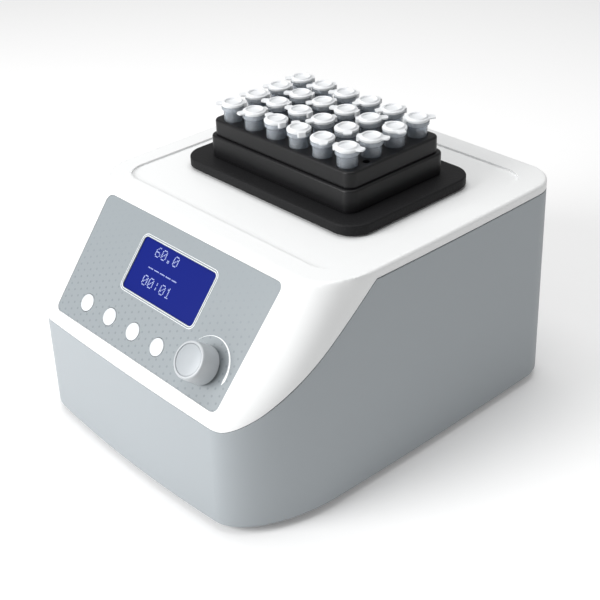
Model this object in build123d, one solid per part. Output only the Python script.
from build123d import *
import os
from math import asin, cos, pi, radians, sin, tan

# Bench thermal mixer: a case with a sloped control panel, and a heated platform that
# orbits on cranks and carries a lift-off block with 24 tubes.
# Millimetres, +X right, +Y to the back, +Z up, the table at z = 0, and the origin
# under the middle of the case.

# Case
foot_height = 4.2           # table to the bottom edge of the housing
rim_height = 124.8          # table to the top rim
case_half_width = 96.0      # at the rim
case_length = 226.0         # at the rim, without the bows
front_bow = 3.0             # at the bottom edge
front_bow_seam = 1.0        # at the seam, where the slope begins
back_bow = 1.0
side_bow = 0.8
case_draft = 2.4            # how far the walls lean out between the rim and the bottom edge
front_corner_x = 27.0
front_corner_y = 55.0
back_corner = 19.0
housing_wall = 3.0
cover_wall = 2.6
rim_round = 1.6

# Seam between the grey housing and the white cover
seam_front_height = 62.4
seam_side_height = 119.5
seam_rise_start = 1.5       # behind the front wall
seam_rise_end = 83.5        # behind the front wall
seam_sag = 2.4
seam_gap = 0.4
tongue_clearance = 0.3      # between the cover's wall and the housing's tongue
tongue_wall = 1.4
tongue_rise = 2.5
tongue_root = 3.5

# Sloped control panel
panel_angle = 50.2
panel_crease = 50.0         # behind the front wall, where the panel meets the rim plane
panel_top_round = 9.4
panel_side_round = 14.0
overlay_top = 3.9           # all "down the slope" sizes start at the crease
overlay_bottom = 73.7
overlay_top_half = 71.0
overlay_bottom_half = 69.0
overlay_corner = 4.0
overlay_thickness = 0.6
overlay_recess = 0.8
overlay_clearance = 0.2

# Display
display_down = 29.5
display_width = 59.0
display_height = 29.4
window_margin = 1.0
window_thickness = 2.0
module_width, module_height, module_depth = 70.0, 38.0, 6.4

# Keys
key_count = 4
key_first = -47.8
key_pitch = 20.7
key_down = 61.7
key_radius = 4.8
key_proud = 0.3
key_thickness = 1.7
key_stem_size = 3.4
key_stem_length = 2.5
key_travel = 0.6
key_clearance = 0.3
key_switch_size = 6.0

# Knob and its encoder
knob_x = 49.7
knob_down = 56.4
knob_radius = 10.0
knob_taper = 0.4
knob_height = 11.6
knob_travel = 0.8
knob_float = 1.1            # under the knob, above the panel's plane
knob_face_radius = 8.2
knob_face_depth = 1.0
knob_shaft_radius = 3.0
knob_shaft_depth = 8.0
encoder_size = 12.4
encoder_collar_radius = 4.6
encoder_rotor_size = 8.4
encoder_rotor_height = 3.0
encoder_gap = 0.4

# Control board
board_depth = 9.4           # below the panel's plane
board_thickness = 1.6
board_half_width = 66.0
board_top, board_bottom = 8.0, 70.0
board_post_radius = 3.0

# Recess on the top, and the opening for the platform
recess_half_width = 83.7
recess_front = 64.8         # behind the front wall
recess_back = 213.0
recess_corner = 14.0
recess_depth = 1.2
top_wall = 2.8
opening_gap = 3.0           # round the platform's frame, more than the orbit
lip_wall = 1.6
lip_height = 3.4

# Drive
platform_back = 142.0       # behind the front wall, the platform's centre at rest
orbit_radius = 1.5
running_clearance = 0.05
shaft_radius = 4.0
seat_gap = 0.3              # between a turning piece and its neighbour
chassis_height = 50.0
chassis_thickness = 5.0
chassis_half_x, chassis_half_y = 62.0, 45.0
post_across = 9.0            # across the corners of a six-sided post
post_inset = 6.0
motor_size = 42.0
motor_length = 34.0
motor_corner = 4.0
web_radius = 13.0
web_thickness = 6.0
web_rise = 5.0
weight_radius = 27.0
weight_thickness = 8.0
main_bearing_radius = 11.0
idler_bearing_radius = 8.0
idler_column_radius = 6.0
idler_places = [(-46.0, 26.0), (46.0, 26.0)]    # from the drive axis

# Platform
platform_height = 86.0
platform_thickness = 6.0
platform_half_x, platform_half_y = 60.0, 44.0
sink_half_x, sink_half_y = 50.0, 31.0
sink_fin_height = 12.0
sink_base = 5.0
sink_fins = 9
sink_fin_thickness = 2.0
cooler_size = 40.0
cooler_thickness = 4.0
spreader_thickness = 5.0
frame_wall = 2.0
frame_window = 12.0
tray_half_x, tray_half_y = 68.5, 46.5
tray_corner = 13.5
tray_top = 130.2
tray_plate = 2.5
tray_rim = 5.8
tray_rim_wall = 2.5
tray_edge = 0.9

# Block and tubes
block_half_x, block_half_y = 54.0, 33.5
block_corner = 5.0
block_top = 151.7
block_edge = 0.9
collar_half_x, collar_half_y = 56.0, 35.5
collar_corner = 6.0
collar_height = 12.5
foot_step = 0.6             # how far the block's foot stands back from its upper part
foot_clearance = 0.3
rows, columns = 4, 6
pitch_x, pitch_y = 17.7, 17.1
tube_radius = 5.4
well_clearance = 0.3
tube_rise = 8.0             # from the block's top to the lid
tube_length = 38.4
tube_tip_radius = 1.8
tube_tip_length = 17.0
tube_sides = 16             # the 24 tubes and their wells have flats instead of full rounds
lid_radius = 6.5
lid_thickness = 2.6
tab_width = 5.0
tab_reach = 3.2
hinge_reach = 1.0
tab_thickness = 1.2
probe_hole_radius = 2.0
probe_hole_depth = 20.0
probe_hole_x = 49.0
# Which way each tube's lid tab points, in degrees from +X, row by row from the front
tab_angles = [
    [229, 250, 167, 150, -41, 17],
    [229, 205, 190, 250, -41, 30],
    [229, 215, 240, 200, 48, -20],
    [229, 235, 215, 255, 240, 49],
]

# Bottom
base_thickness = 2.5
base_gap = 0.3
boss_radius = 5.0
boss_height = 24.0
boss_inset = 4.5
boss_places = [(1, 52.0), (-1, 52.0), (1, 197.0), (-1, 197.0)]   # side, behind the front wall
foot_radius = 9.0
foot_inset_x = 18.0
foot_front, foot_back = 27.0, 204.0
vent_slots = 7
vent_slot_width, vent_slot_length, vent_slot_pitch = 4.0, 44.0, 9.0
supply_size = (84.0, 52.0, 32.0)
supply_place = (-34.0, 60.0)    # x, behind the front wall

# Rear panel, fan and mains inlet
rear_pocket = 4.0
rear_half_width = 70.0
rear_low, rear_high = 20.0, 100.0
rear_flange = 5.0
rear_panel_thickness = 1.5
rear_fit = 0.3
fan_x, fan_z = -34.0, 60.0
fan_size = 60.0
fan_depth = 15.0
fan_bore = 28.0
fan_hub = 14.0
fan_blades = 7
fan_tip_gap = 1.0
inlet_x, inlet_z = 38.0, 60.0
inlet_half_x, inlet_half_z = 15.5, 30.0
inlet_flange = 1.8
inlet_body_half_x, inlet_body_half_z = 13.8, 27.5
inlet_depth = 26.0
socket_half_x, socket_half_z, socket_depth = 12.3, 8.5, 16.0
socket_drop = 15.5
pin_length = 9.0
drawer_half_x, drawer_half_z, drawer_depth = 11.0, 3.7, 20.0
drawer_rise = 0.5
drawer_gap = 0.3
rocker_half_x, rocker_half_z, rocker_depth = 9.5, 7.0, 7.0
rocker_rise = 16.0
rocker_tilt = 8.0

os.makedirs("parts", exist_ok=True)

# Places worked out from the sizes above
case_front = -(case_length - front_bow + back_bow) / 2
case_back = case_front + case_length
platform_y = case_front + platform_back
drive_y = platform_y + orbit_radius
slope = radians(panel_angle)
panel = Plane(
    origin=(0, case_front + panel_crease, rim_height), x_dir=(1, 0, 0), z_dir=(0, -sin(slope), cos(slope))
)
base_top = foot_height + base_thickness
top_inside = rim_height - recess_depth - top_wall
frame_half_x = block_half_x - foot_step + foot_clearance + frame_wall
frame_half_y = block_half_y - foot_step + foot_clearance + frame_wall
opening_half_x = frame_half_x + opening_gap
opening_half_y = frame_half_y + opening_gap
tray_bottom = tray_top - tray_rim
sink_bottom = platform_height + platform_thickness
spreader_bottom = sink_bottom + sink_fin_height + sink_base + cooler_thickness
spreader_top = spreader_bottom + spreader_thickness
collar_top = tray_top + collar_height
lid_bottom = block_top + tube_rise
tube_bottom = lid_bottom - tube_length
rear_face = case_back - rear_pocket
key_places = [(key_first + i * key_pitch, -key_down) for i in range(key_count)]
MIN3 = (Align.CENTER, Align.CENTER, Align.MIN)
MAX3 = (Align.CENTER, Align.CENTER, Align.MAX)


def save(shape, name):
    """Write one sub-part, and say how many solids it has."""
    solids = shape.solids()
    export_step(Compound(children=list(solids)) if len(solids) > 1 else solids[0], f"parts/{name}.step")
    print(name, len(solids), round(sum(s.volume for s in solids)))


def rounded(half_x, half_y, corner, low, high, centre=(0, 0)):
    """An upright block with rounded corners, from height low to height high."""
    plate = RectangleRounded(2 * half_x, 2 * half_y, corner)
    return Pos(centre[0], centre[1], low) * extrude(plate, high - low)


def ring(outer, inner, low, high, centre):
    """An upright round ring."""
    return Pos(centre[0], centre[1], low) * (
        Cylinder(outer, high - low, align=MIN3) - Cylinder(inner, high - low, align=MIN3)
    )


def disc(radius, low, high, centre):
    return Pos(centre[0], centre[1], low) * Cylinder(radius, high - low, align=MIN3)


def on_panel(shape, place=(0, 0), height=0.0):
    """Put a shape on the sloped panel: x, then y up the slope, then out of the panel."""
    return panel * Pos(place[0], place[1], height) * shape


def corner_curve(start, start_dir, end, end_dir):
    """A quarter of an ellipse that leaves and arrives along the given directions."""
    (x0, y0), (u0, v0), (x1, y1), (u1, v1) = start, start_dir, end, end_dir
    t = ((x1 - x0) * v1 - (y1 - y0) * u1) / (u0 * v1 - v0 * u1)
    return Bezier(start, (x0 + t * u0, y0 + t * v0), end, weights=[1, cos(pi / 4), 1])


def bow_angle(half, sag):
    """The angle at the end of an arc with this half chord and this rise."""
    return asin(2 * half * sag / (half * half + sag * sag))


def front_bow_at(z):
    """The front wall's bow fades with height, from the bottom edge through the seam."""
    return front_bow + (front_bow_seam - front_bow) * (z - foot_height) / (seam_front_height - foot_height)


def case_outline(z, inset=0.0):
    """The case's plan at one height: four bowed sides and four soft corners."""
    grow = case_draft * (rim_height - z) / (rim_height - foot_height) - inset
    half = case_half_width + grow
    front, back = case_front - grow, case_back + grow
    front_x, front_y = half - front_corner_x - grow, front + front_corner_y + grow
    back_x, back_y = half - back_corner - grow, back - back_corner - grow
    bow = front_bow_at(z)
    a = bow_angle(front_x, bow)
    b = bow_angle((back_y - front_y) / 2, side_bow)
    c = bow_angle(back_x, back_bow)
    middle = (front_y + back_y) / 2
    front_edge = ThreePointArc((-front_x, front), (0, front - bow), (front_x, front))
    back_edge = ThreePointArc((back_x, back), (0, back + back_bow), (-back_x, back))
    right = [
        corner_curve((front_x, front), (cos(a), sin(a)), (half, front_y), (sin(b), cos(b))),
        ThreePointArc((half, front_y), (half + side_bow, middle), (half, back_y)),
        corner_curve((half, back_y), (-sin(b), cos(b)), (back_x, back), (-cos(c), sin(c))),
    ]
    left = [mirror(edge, Plane.YZ) for edge in reversed(right)]
    return Pos(0, 0, z) * Wire([edge.edge() for edge in [front_edge, *right, back_edge, *left]])


def case_form(inset=0.0, low=foot_height, high=rim_height):
    """The case without its slope, lofted between two plans."""
    return Solid.make_loft([case_outline(low, inset), case_outline(high, inset)], True)


def above_panel(depth=0.0):
    """Everything in front of a plane that lies this deep under the panel."""
    return on_panel(Box(4 * case_half_width, 2 * case_length, case_length, align=MIN3), height=-depth)


def below_seam(drop=0.0):
    """Everything under the seam: level at the front, a rising arc, level along the side."""
    start = (case_front + seam_rise_start, seam_front_height)
    knee = (case_front + seam_rise_end, seam_side_height)
    run, rise = knee[0] - start[0], knee[1] - start[1]
    span = (run * run + rise * rise) ** 0.5
    sag_point = (
        (start[0] + knee[0]) / 2 + seam_sag * rise / span,
        (start[1] + knee[1]) / 2 - seam_sag * run / span,
    )
    far = case_length
    lines = (
        Polyline((-far, 0), (-far, start[1]), start)
        + ThreePointArc(start, sag_point, knee)
        + Polyline(knee, (far, knee[1]), (far, 0), (-far, 0))
    )
    profile = make_face(Plane.YZ * lines)
    return Pos(-2 * case_half_width, 0, -drop) * extrude(profile, 4 * case_half_width, dir=(1, 0, 0))


def crease_shape():
    """What the rounding between the slope and the top takes away, from side to side."""
    reach = panel_top_round * tan(slope / 2)
    along = (cos(slope), sin(slope))
    crease = (panel.origin.Y, rim_height)
    top = (crease[0] + reach, rim_height)
    low = (crease[0] - reach * along[0], rim_height - reach * along[1])
    middle = (
        top[0] - panel_top_round * sin(slope / 2),
        rim_height - panel_top_round * (1 - cos(slope / 2)),
    )
    outer = [
        (low[0] - panel_top_round * along[1], low[1] + panel_top_round * along[0]),
        (low[0], rim_height + panel_top_round),
        (top[0], rim_height + panel_top_round),
    ]
    lines = ThreePointArc(top, middle, low) + Polyline(low, *outer, top)
    return Pos(-2 * case_half_width, 0, 0) * extrude(make_face(Plane.YZ * lines), 4 * case_half_width, dir=(1, 0, 0))


def round_slope(form, radius):
    """Round the sloped face's front edge and its two sides."""
    face = next(f for f in form.faces() if abs(f.normal_at().dot(panel.z_dir) - 1) < 1e-6)
    return form.fillet(radius, [e for e in face.edges() if e.geom_type != GeomType.LINE])


def inner_form(inset, high=rim_height, low=foot_height):
    """The case's form again, this far inside its walls and its slope."""
    form = case_form(inset, low, high) - above_panel(inset + overlay_recess)
    return round_slope(form, panel_side_round - inset)


def case_body():
    """The case's outer form: the sloped face's edges, the rim and the crease are rounded."""
    form = round_slope(case_form() - above_panel(), panel_side_round)
    top = form.faces().sort_by(Axis.Z)[-1]
    form = form.fillet(rim_round, [e for e in top.edges() if e.geom_type == GeomType.CIRCLE])
    return form - crease_shape()


def overlay_shape(grow=0.0):
    """The overlay's outline: a rounded trapezoid, a little wider at the top."""
    corners = [
        (-overlay_top_half - grow, -overlay_top + grow),
        (overlay_top_half + grow, -overlay_top + grow),
        (overlay_bottom_half + grow, -overlay_bottom - grow),
        (-overlay_bottom_half - grow, -overlay_bottom - grow),
    ]
    return fillet(make_face(Polyline(*corners, close=True)).vertices(), overlay_corner + grow)


def upper_cover():
    """White cover: a shell with the sloped panel, the recessed top and the platform's opening."""
    form = case_body()
    cover = form - below_seam() - inner_form(cover_wall, top_inside)
    middle = case_front + (recess_front + recess_back) / 2
    half_length = (recess_back - recess_front) / 2
    floor = rim_height - recess_depth
    cover -= rounded(recess_half_width, half_length, recess_corner, floor, rim_height + 1, (0, middle))
    centre = (0, drive_y)
    lip_half = (opening_half_x + lip_wall, opening_half_y + lip_wall)
    cover += rounded(*lip_half, block_corner + lip_wall, floor - top_wall, floor + lip_height, centre)
    cover -= rounded(opening_half_x, opening_half_y, block_corner, floor - 2 * top_wall, rim_height + 9, centre)
    deep = overlay_recess + cover_wall + 1
    cover -= on_panel(extrude(overlay_shape(overlay_clearance), 2 * overlay_recess), height=-overlay_recess)
    window = Rectangle(display_width + 2 * window_margin, display_height + 2 * window_margin)
    cover -= on_panel(extrude(window, deep), (0, -display_down), -deep)
    for place in key_places:
        cover -= on_panel(Cylinder(key_radius + key_clearance, deep, align=MAX3), place)
    cover -= on_panel(Cylinder(encoder_collar_radius + overlay_clearance, deep, align=MAX3), (knob_x, -knob_down))
    post = Cylinder(board_post_radius, board_depth - overlay_recess - cover_wall + 0.1, align=MIN3)
    for place in board_posts():
        cover += on_panel(post, place, -board_depth)
    return cover


def board_posts():
    inset = 2 * board_post_radius
    return [
        (side * (board_half_width - board_post_radius), -down)
        for side in (-1, 1)
        for down in (board_top + inset, board_bottom - 2 * inset)
    ]


def lower_housing():
    """Grey housing: an open shell with a flange for the rear panel and screw bosses."""
    body = case_body() & below_seam(seam_gap)
    shell = body - inner_form(housing_wall, low=foot_height - 1)
    middle = (rear_low + rear_high) / 2
    half_height = (rear_high - rear_low) / 2
    flange = Pos(0, rear_face, middle) * Box(
        2 * (rear_half_width + rear_flange), 2 * rear_flange, 2 * (half_height + rear_flange)
    )
    shell += flange & case_form()
    pocket = Box(2 * rear_half_width, 9 * rear_pocket, 2 * half_height, align=(Align.CENTER, Align.MIN, Align.CENTER))
    shell -= Pos(0, rear_face, middle) * pocket
    shell -= Pos(0, rear_face, middle) * Box(
        2 * (rear_half_width - rear_flange), 9 * rear_flange, 2 * (half_height - rear_flange)
    )
    for place in boss_centres():
        shell += disc(boss_radius, base_top, base_top + boss_height, place) & case_form(1.0)
    inset = cover_wall + tongue_clearance
    tongue = inner_form(inset, top_inside - tongue_clearance) - inner_form(inset + tongue_wall)
    return shell + ((tongue & below_seam(-tongue_rise)) - below_seam(tongue_root))


def boss_centres():
    x = case_half_width + case_draft - housing_wall - boss_inset
    return [(side * x, case_front + back) for side, back in boss_places]


def base_plate():
    """Bottom plate with air slots under the heat sink."""
    plate = case_form(housing_wall + base_gap, low=foot_height, high=base_top)
    for i in range(vent_slots):
        y = drive_y + (i - (vent_slots - 1) / 2) * vent_slot_pitch
        slot = Box(vent_slot_length, vent_slot_width, 9 * base_thickness)
        plate -= Pos(0, y, foot_height) * slot
    return plate


def foot_centres():
    x = case_half_width - foot_inset_x
    return [(side * x, case_front + back) for side in (-1, 1) for back in (foot_front, foot_back)]


def rubber_feet():
    return Part() + [disc(foot_radius, 0, foot_height, place) for place in foot_centres()]


def panel_overlay():
    """Thin front sheet with openings for the display, the keys and the knob."""
    sheet = extrude(overlay_shape(), overlay_thickness)
    sheet -= Pos(0, -display_down, 0) * Box(display_width, display_height, 9)
    for x, y in key_places:
        sheet -= Pos(x, y, 0) * Cylinder(key_radius + key_clearance, 9)
    sheet -= Pos(knob_x, -knob_down, 0) * Cylinder(encoder_collar_radius + overlay_clearance, 9)
    return on_panel(sheet, height=-overlay_recess)


def display_window():
    margin = 2 * (window_margin - overlay_clearance)
    pane = Box(display_width + margin, display_height + margin, window_thickness, align=MAX3)
    return on_panel(pane, (0, -display_down), -overlay_recess)


def display_module():
    """Display block between the window and the control board."""
    top = overlay_recess + cover_wall + 0.1
    height = board_depth - top
    block = Box(module_width, module_height, height, align=MIN3)
    step = Box(display_width, display_height, top - overlay_recess - window_thickness, align=MIN3)
    return on_panel(block + Pos(0, 0, height) * step, (0, -display_down), -board_depth)


def control_board():
    """Circuit board with one switch under each key."""
    height = board_bottom - board_top
    board = Pos(0, -(board_top + board_bottom) / 2, -board_depth) * Box(
        2 * board_half_width, height, board_thickness, align=MAX3
    )
    tall = board_depth + key_proud - key_thickness - key_stem_length - key_travel - key_clearance
    for x, y in key_places:
        board += Pos(x, y, -board_depth) * Box(key_switch_size, key_switch_size, tall, align=MIN3)
    return on_panel(board)


def key(place):
    cap = Cylinder(key_radius, key_thickness, align=MAX3)
    stem = Box(key_stem_size, key_stem_size, key_stem_length, align=MAX3)
    return on_panel(cap + Pos(0, 0, -key_thickness) * stem, place, key_proud)


def encoder_body():
    """Encoder housing on the board, with its collar through the panel."""
    tall = board_depth - overlay_recess - cover_wall
    body = Box(encoder_size, encoder_size, tall, align=MIN3)
    body += Cylinder(encoder_collar_radius, board_depth - overlay_clearance, align=MIN3)
    cavity = encoder_rotor_size + 2 * encoder_gap
    body -= Pos(0, 0, 2 * encoder_gap) * Box(cavity, cavity, encoder_rotor_height + 2 * encoder_gap, align=MIN3)
    body -= Pos(0, 0, encoder_gap) * Cylinder(knob_shaft_radius + key_clearance, 2 * board_depth, align=MIN3)
    return on_panel(body, (knob_x, -knob_down), -board_depth)


def encoder_rotor():
    """Six-sided sleeve that turns with the shaft and lets it slide."""
    sleeve = extrude(RegularPolygon(encoder_rotor_size / 2, 6), encoder_rotor_height)
    sleeve -= Cylinder(knob_shaft_radius + running_clearance, 9 * encoder_rotor_height)
    return on_panel(sleeve, (knob_x, -knob_down), -board_depth + 3 * encoder_gap)


def knob_profile():
    """Half of the knob's section: a slightly tapered drum with a rounded front and a shallow dish."""
    base, top = knob_float, knob_float + knob_height
    r = knob_radius
    face = knob_face_radius
    return [
        (0, base), (r, base), (r - knob_taper, top - 1.2), (r - knob_taper - 1.0, top),
        (face, top), (face, top - knob_face_depth), (0, top - knob_face_depth),
    ]


def knob():
    form = revolve(make_face(Plane.XZ * Polyline(*knob_profile(), close=True)), Axis.Z)
    form -= Cylinder(knob_shaft_radius, knob_float + knob_height - 2 * knob_face_depth, align=MIN3)
    return on_panel(form, (knob_x, -knob_down))


def knob_cap():
    top = knob_float + knob_height
    cap = Cylinder(knob_face_radius - 0.05, knob_face_depth - 0.3, align=MIN3)
    return on_panel(cap, (knob_x, -knob_down), top - knob_face_depth)


def knob_shaft():
    low = -board_depth + 2 * encoder_gap + knob_travel
    high = knob_float + knob_height - 2 * knob_face_depth
    return on_panel(Cylinder(knob_shaft_radius, high - low, align=MIN3), (knob_x, -knob_down), low)


def chassis_corners():
    x, y = chassis_half_x - post_inset, chassis_half_y - post_inset
    return [(i * x, drive_y + j * y) for i in (-1, 1) for j in (-1, 1)]


def idler_axes(offset=0.0):
    """Idler axes: the journals at offset 0, the pins one orbit radius in front of them."""
    return [(x, drive_y + y - offset) for x, y in idler_places]


def chassis_plate():
    top = chassis_height + chassis_thickness
    plate = rounded(chassis_half_x, chassis_half_y, 8, chassis_height, top, (0, drive_y))
    plate -= disc(main_bearing_radius, chassis_height - 1, top + 1, (0, drive_y))
    for place in idler_axes():
        plate -= disc(idler_bearing_radius, chassis_height - 1, top + 1, place)
    return plate


def chassis_posts():
    """Six-sided posts between the base plate and the chassis."""
    post = extrude(RegularPolygon(post_across / 2, 6), chassis_height - base_top)
    return Part() + [Pos(x, y, base_top) * post for x, y in chassis_corners()]


def crank_bearings():
    low, high = chassis_height, chassis_height + chassis_thickness
    main = ring(main_bearing_radius, shaft_radius, low, high, (0, drive_y))
    return Part() + [main, *[ring(idler_bearing_radius, shaft_radius, low, high, p) for p in idler_axes()]]


def motor():
    """Square motor under the chassis plate, bored for the crank's shaft."""
    low = chassis_height - motor_length
    body = Pos(0, drive_y, low) * Box(motor_size, motor_size, motor_length, align=MIN3)
    body = fillet(body.edges().filter_by(Axis.Z), motor_corner)
    return body - disc(shaft_radius + seat_gap, low + 3, chassis_height + 1, (0, drive_y))


def drive_crank():
    """Motor shaft, web and eccentric pin in one piece."""
    journal = shaft_radius - running_clearance
    web_low = chassis_height + chassis_thickness + web_rise
    web_high = web_low + web_thickness
    low = chassis_height - motor_length + 4
    crank = disc(journal, low, web_low, (0, drive_y))
    crank += disc(web_radius, web_low, web_high, (0, drive_y))
    crank += disc(journal, web_high, sink_bottom - 0.5, (0, drive_y - orbit_radius))
    return crank


def counterweight():
    """Half ring on the web, opposite the pin."""
    low = chassis_height + chassis_thickness + web_rise
    weight = ring(weight_radius, web_radius, low, low + weight_thickness, (0, drive_y))
    front = Pos(0, drive_y, low) * Box(4 * weight_radius, 2 * weight_radius, 4 * weight_thickness,
                                       align=(Align.CENTER, Align.MAX, Align.CENTER))
    return weight - front


def idler_crank(index):
    journal = shaft_radius - running_clearance
    chassis_top = chassis_height + chassis_thickness
    axis, pin = idler_axes()[index], idler_axes(orbit_radius)[index]
    crank = disc(journal, chassis_height, chassis_top + seat_gap, axis)
    crank += disc(idler_column_radius, chassis_top + seat_gap, platform_height - seat_gap, axis)
    crank += disc(journal, platform_height - seat_gap, sink_bottom - 0.5, pin)
    return crank


def platform_plate():
    low, high = platform_height, platform_height + platform_thickness
    plate = rounded(platform_half_x, platform_half_y, 8, low, high, (0, platform_y))
    for place in [(0, platform_y), *idler_axes(orbit_radius)]:
        plate -= disc(idler_bearing_radius, low - 1, high + 1, place)
    return plate


def platform_bearings():
    low, high = platform_height, platform_height + platform_thickness
    places = [(0, platform_y), *idler_axes(orbit_radius)]
    return Part() + [ring(idler_bearing_radius, shaft_radius, low, high, p) for p in places]


def heat_sink():
    """Finned sink that stands on the platform plate."""
    top = sink_bottom + sink_fin_height
    sink = Pos(0, platform_y, top) * Box(2 * sink_half_x, 2 * sink_half_y, sink_base, align=MIN3)
    step = 2 * (sink_half_x - sink_fin_thickness / 2) / (sink_fins - 1)
    for i in range(sink_fins):
        x = -sink_half_x + sink_fin_thickness / 2 + i * step
        fin = Box(sink_fin_thickness, 2 * sink_half_y, sink_fin_height, align=MIN3)
        sink += Pos(x, platform_y, sink_bottom) * fin
    return sink


def thermoelectric_module():
    low = sink_bottom + sink_fin_height + sink_base
    return Pos(0, platform_y, low) * Box(cooler_size, cooler_size, cooler_thickness, align=MIN3)


def heat_spreader():
    half_x = frame_half_x - frame_wall - base_gap
    half_y = frame_half_y - frame_wall - base_gap
    return rounded(half_x, half_y, block_corner, spreader_bottom, spreader_top, (0, platform_y))


def platform_frame():
    """Insulating frame round the sink and the block's foot, with air windows beside the fins."""
    top = tray_top - tray_plate
    inner = (frame_half_x - frame_wall, frame_half_y - frame_wall)
    frame = rounded(frame_half_x, frame_half_y, block_corner + frame_wall, sink_bottom, top, (0, platform_y))
    frame -= rounded(*inner, block_corner, sink_bottom - 1, top + 1, (0, platform_y))
    ledge = rounded(inner[0] + 0.5, inner[1] + 0.5, block_corner, spreader_bottom - 2, spreader_bottom, (0, platform_y))
    ledge -= rounded(sink_half_x + 1, sink_half_y + 0.5, 2, spreader_bottom - 3, spreader_bottom + 1, (0, platform_y))
    frame += ledge
    window = Box(2 * sink_half_x - 20, 9 * frame_half_y, frame_window - 2, align=MIN3)
    return frame - Pos(0, platform_y, sink_bottom + 1) * window


def platform_tray():
    """Black tray: a shallow dish turned over, with the opening for the block's foot."""
    centre = (0, platform_y)
    tray = rounded(tray_half_x, tray_half_y, tray_corner, tray_bottom, tray_top, centre)
    tray = chamfer(tray.faces().sort_by(Axis.Z)[-1].edges(), tray_edge)
    hollow = (tray_half_x - tray_rim_wall, tray_half_y - tray_rim_wall)
    tray -= rounded(*hollow, tray_corner - tray_rim_wall, tray_bottom - 1, tray_top - tray_plate, centre)
    foot = (frame_half_x - frame_wall, frame_half_y - frame_wall)
    return tray - rounded(*foot, block_corner, tray_bottom - 1, tray_top + 1, centre)


def block_collar():
    """Black collar round the block, which rests on the tray."""
    centre = (0, platform_y)
    collar = rounded(collar_half_x, collar_half_y, collar_corner, tray_top, collar_top, centre)
    collar = chamfer(collar.faces().sort_by(Axis.Z)[-1].edges(), block_edge)
    inner = (block_half_x - foot_step + 0.05, block_half_y - foot_step + 0.05)
    return collar - rounded(*inner, block_corner, tray_top - 1, collar_top + 1, centre)


def well_centres():
    """Tube places, row by row from the front."""
    return [
        [
            ((i - (columns - 1) / 2) * pitch_x, platform_y + (j - (rows - 1) / 2) * pitch_y)
            for i in range(columns)
        ]
        for j in range(rows)
    ]


def tube_block():
    """Aluminium block with its wells, the probe hole and the foot that reaches the spreader."""
    centre = (0, platform_y)
    upper = rounded(block_half_x, block_half_y, block_corner, collar_top, block_top, centre)
    upper = chamfer(upper.faces().sort_by(Axis.Z)[-1].edges(), block_edge)
    foot = (block_half_x - foot_step, block_half_y - foot_step)
    block = upper + rounded(*foot, block_corner, spreader_top, collar_top, centre)
    well = extrude(RegularPolygon(tube_radius + well_clearance, tube_sides, major_radius=False), tube_length)
    block -= [Pos(x, y, tube_bottom) * well for row in well_centres() for x, y in row]
    probe = (probe_hole_x, well_centres()[0][0][1] + pitch_y / 2)
    block -= disc(probe_hole_radius, block_top - probe_hole_depth, block_top + 1, probe)
    return block


def tube(place, angle):
    """One closed tube: tapered tip, wall and lid, with the lid's tab and hinge strap."""
    shoulder = tube_bottom + tube_tip_length
    rim = RegularPolygon(tube_radius, tube_sides)
    form = loft([Pos(0, 0, tube_bottom) * RegularPolygon(tube_tip_radius, tube_sides), Pos(0, 0, shoulder) * rim])
    form += Pos(0, 0, shoulder) * extrude(rim, lid_bottom - shoulder)
    form += Pos(0, 0, lid_bottom) * extrude(RegularPolygon(lid_radius, tube_sides), lid_thickness)
    reach = 2 * lid_radius + tab_reach + hinge_reach
    bar = Pos((tab_reach - hinge_reach) / 2, 0, lid_bottom + lid_thickness - tab_thickness) * Box(
        reach, tab_width, tab_thickness, align=MIN3
    )
    return Pos(place[0], place[1], 0) * Rot(0, 0, angle) * (form + bar)


def tube_row(index):
    places = well_centres()[index]
    return Part() + [tube(place, angle) for place, angle in zip(places, tab_angles[index])]


def power_supply():
    x, y = supply_place[0], case_front + supply_place[1]
    return Pos(x, y, base_top) * Box(*supply_size, align=MIN3)


def rear_panel():
    """Metal plate in the rear pocket with the fan's grille and the inlet's cut-out."""
    middle, half = (rear_low + rear_high) / 2, (rear_high - rear_low) / 2
    plate = Pos(0, rear_face, middle) * Box(
        2 * (rear_half_width - rear_fit), rear_panel_thickness, 2 * (half - rear_fit),
        align=(Align.CENTER, Align.MIN, Align.CENTER),
    )
    for i in range(-4, 5):
        chord = 2 * ((fan_bore - 1) ** 2 - (6 * i) ** 2) ** 0.5
        slot = Box(chord, 9 * rear_panel_thickness, 3.6)
        plate -= Pos(fan_x, rear_face, fan_z + 6 * i) * slot
    cut = Box(2 * inlet_body_half_x + rear_fit, 9 * rear_panel_thickness, 2 * inlet_body_half_z + rear_fit)
    return plate - Pos(inlet_x, rear_face, inlet_z) * cut


def fan_frame():
    """Square fan housing with a round bore and a motor seat on one arm."""
    middle = rear_face - fan_depth / 2
    frame = Pos(fan_x, middle, fan_z) * Box(fan_size, fan_depth, fan_size)
    bore = Rot(90, 0, 0) * Cylinder(fan_bore, 2 * fan_depth)
    frame -= Pos(fan_x, middle, fan_z) * bore
    front = rear_face - fan_depth
    arm = Box(fan_size - 1, 2.0, 5.0, align=(Align.CENTER, Align.MIN, Align.CENTER))
    frame += Pos(fan_x, front, fan_z) * arm
    stub = Rot(-90, 0, 0) * Cylinder(2.5, fan_depth - 5, align=MIN3)
    return frame + Pos(fan_x, front, fan_z) * stub


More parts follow.
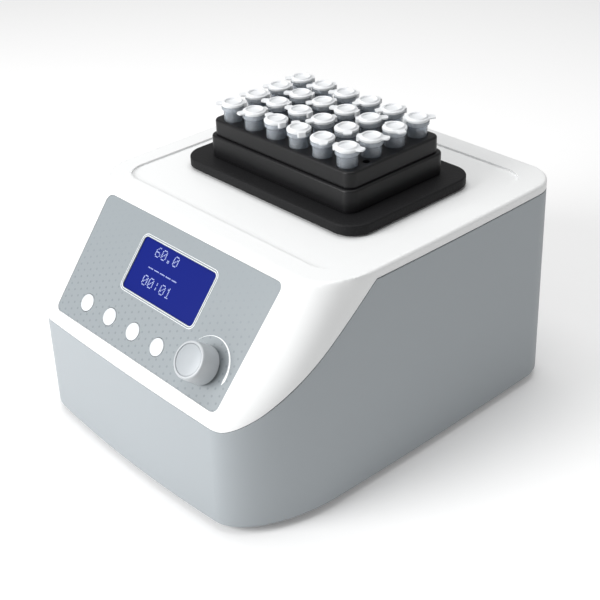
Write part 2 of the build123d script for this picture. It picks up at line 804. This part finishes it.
def fan_rotor():
    """Hub with pitched blades, hollow over the stub."""
    hub_low, hub_high = rear_face - fan_depth + 3, rear_face - 1.5
    length = hub_high - hub_low
    hub = Cylinder(fan_hub, length, align=MIN3)
    span = fan_bore - fan_tip_gap - fan_hub + 1
    blade = Pos(fan_hub - 1, 0, length / 2) * Rot(35, 0, 0) * Box(
        span, 1.4, length + 1, align=(Align.MIN, Align.CENTER, Align.CENTER)
    )
    blade &= Cylinder(fan_bore - fan_tip_gap, length, align=MIN3)
    rotor = hub
    for i in range(fan_blades):
        rotor += Rot(0, 0, i * 360 / fan_blades) * blade
    rotor -= Cylinder(2.5 + running_clearance, length - 2, align=MIN3)
    return Pos(fan_x, hub_low, fan_z) * Rot(-90, 0, 0) * rotor


def power_inlet():
    """Mains inlet: flange, body, socket with three pins, and pockets for the drawer and the rocker."""
    face = rear_face + rear_panel_thickness
    outer = face + inlet_flange
    inward = (Align.CENTER, Align.MAX, Align.CENTER)
    body = Pos(inlet_x, outer, inlet_z) * Box(2 * inlet_half_x, inlet_flange, 2 * inlet_half_z, align=inward)
    body += Pos(inlet_x, face, inlet_z) * Box(2 * inlet_body_half_x, inlet_depth, 2 * inlet_body_half_z, align=inward)
    socket_z = inlet_z - socket_drop
    socket = Box(2 * socket_half_x, socket_depth, 2 * socket_half_z, align=inward)
    body -= Pos(inlet_x, outer, socket_z) * socket
    pin = Box(2.0, pin_length, 4.0, align=(Align.CENTER, Align.MIN, Align.CENTER))
    for x, z in ((-7, -2), (7, -2), (0, 2)):
        body += Pos(inlet_x + x, outer - socket_depth - 0.5, socket_z + z) * pin
    drawer = Box(
        2 * (drawer_half_x + drawer_gap), drawer_depth + drawer_gap, 2 * (drawer_half_z + drawer_gap), align=inward
    )
    body -= Pos(inlet_x, outer, inlet_z + drawer_rise) * drawer
    rocker = Box(2 * (rocker_half_x + drawer_gap), rocker_depth + 3, 2 * rocker_half_z + 2, align=inward)
    return body - Pos(inlet_x, outer, inlet_z + rocker_rise) * rocker


def fuse_drawer():
    outer = rear_face + rear_panel_thickness + inlet_flange
    drawer = Box(2 * drawer_half_x, drawer_depth, 2 * drawer_half_z, align=(Align.CENTER, Align.MAX, Align.CENTER))
    return Pos(inlet_x, outer, inlet_z + drawer_rise) * drawer


def rocker_switch():
    """Rocker with two faces that meet in a shallow valley, stored pressed on at its lower end."""
    outer = rear_face + rear_panel_thickness + inlet_flange
    points = [
        (-rocker_depth + 1, -rocker_half_z + 1.2), (0.6, -rocker_half_z), (-0.6, 0), (0.6, rocker_half_z),
        (-rocker_depth + 1, rocker_half_z - 1.2),
    ]
    profile = make_face(Plane.YZ * Polyline(*points, close=True))
    body = Pos(-rocker_half_x, 0, 0) * extrude(profile, 2 * rocker_half_x, dir=(1, 0, 0))
    pivot = Pos(0, -rocker_depth / 2, 0)
    turned = pivot * Rot(rocker_tilt, 0, 0) * pivot.inverse() * body
    return Pos(inlet_x, outer, inlet_z + rocker_rise) * turned


nodes = {
    "upper_cover": upper_cover,
    "lower_housing": lower_housing,
    "base_plate": base_plate,
    "rubber_feet": rubber_feet,
    "panel_overlay": panel_overlay,
    "display_window": display_window,
    "display_module": display_module,
    "control_board": control_board,
    "encoder_body": encoder_body,
    "encoder_rotor": encoder_rotor,
    "knob": knob,
    "knob_cap": knob_cap,
    "knob_shaft": knob_shaft,
    "chassis_plate": chassis_plate,
    "chassis_posts": chassis_posts,
    "crank_bearings": crank_bearings,
    "motor": motor,
    "drive_crank": drive_crank,
    "counterweight": counterweight,
    "platform_plate": platform_plate,
    "platform_bearings": platform_bearings,
    "heat_sink": heat_sink,
    "thermoelectric_module": thermoelectric_module,
    "heat_spreader": heat_spreader,
    "platform_frame": platform_frame,
    "platform_tray": platform_tray,
    "block_collar": block_collar,
    "tube_block": tube_block,
    "power_supply": power_supply,
    "rear_panel": rear_panel,
    "fan_frame": fan_frame,
    "fan_rotor": fan_rotor,
    "power_inlet": power_inlet,
    "fuse_drawer": fuse_drawer,
    "rocker_switch": rocker_switch,
}
for name, make in nodes.items():
    save(make(), name)
for i, place in enumerate(key_places):
    save(key(place), f"key_{i + 1}")
for i in range(len(idler_places)):
    save(idler_crank(i), f"idler_crank_{i + 1}")
for j in range(rows):
    save(tube_row(j), f"tube_row_{j + 1}")
